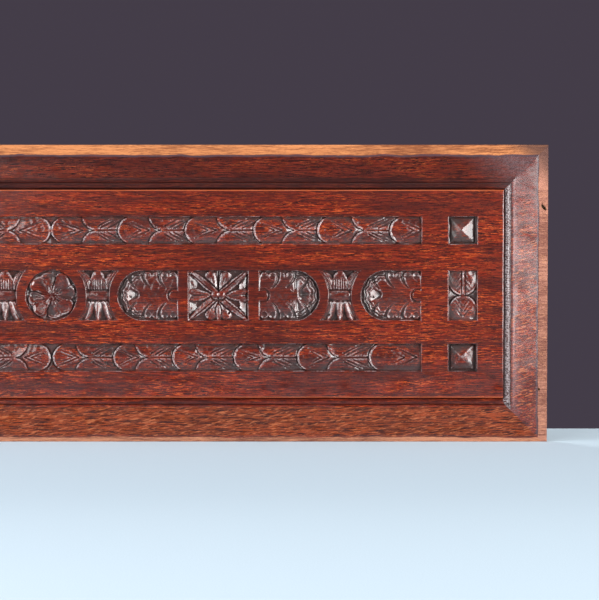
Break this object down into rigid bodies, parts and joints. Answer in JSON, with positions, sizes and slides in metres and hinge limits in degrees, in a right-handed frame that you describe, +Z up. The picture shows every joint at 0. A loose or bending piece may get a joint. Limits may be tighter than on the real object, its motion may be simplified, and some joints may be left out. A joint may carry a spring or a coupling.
{
  "type": "carved wall panel",
  "caption": "Long carved oak panel with a raised field, mitred moulding, leaf bands, acanthus, tulip and rosette compartments, and a thin tongue all round for a frame.",
  "frame": {"origin": "centre of the flat back face", "axes": "+X along the panel to the right as seen from the front, +Y out of the back, +Z up the panel"},
  "size_m": [1, 0.018, 0.3],
  "materials": {
    "oak": "Dark reddish-brown stained and varnished oak with orange flecks and worn arrises, raw pale oak on the tongue and the back."
  },
  "bodies": {
    "root": {"carved_panel": "oak"}
  },
  "joints": []
}
